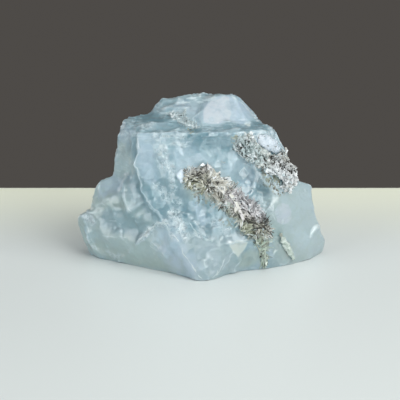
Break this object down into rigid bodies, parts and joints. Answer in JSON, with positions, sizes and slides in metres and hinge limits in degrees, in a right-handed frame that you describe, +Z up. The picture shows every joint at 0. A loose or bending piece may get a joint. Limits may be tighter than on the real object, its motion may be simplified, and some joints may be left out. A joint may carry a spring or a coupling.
{
  "type": "aquamarine crystal specimen",
  "caption": "Rough aquamarine mineral specimen: a flat-based, translucent pale blue beryl with broken terraces and smooth breaks, silvery mica crusts and small white albite patches",
  "frame": {"origin": "middle of the flat break that the stone stands on, on the floor plane", "axes": "+X to the stone's right as seen from its front, along its length; +Y towards its back; +Z up. The front, with the mica band, faces -Y"},
  "size_m": [0.0607, 0.0351, 0.0391],
  "materials": {
    "aquamarine": "milky translucent blue-green beryl, glassy on smooth breaks and frosty where it is splintered",
    "silvery_mica": "stacked glittering silver-grey mica flakes with olive and lilac tints",
    "greenish_mica": "thin cream to grey-green mica leaf",
    "albite": "sugary white feldspar"
  },
  "bodies": {
    "root": {"aquamarine_crystal": "aquamarine", "mica_crust_front": "silvery_mica", "mica_crust_shoulder": "silvery_mica", "mica_tuft_ledge": "silvery_mica", "mica_leaf_right": "greenish_mica", "albite_patch_shoulder": "albite", "albite_chip_front": "albite"}
  },
  "joints": []
}
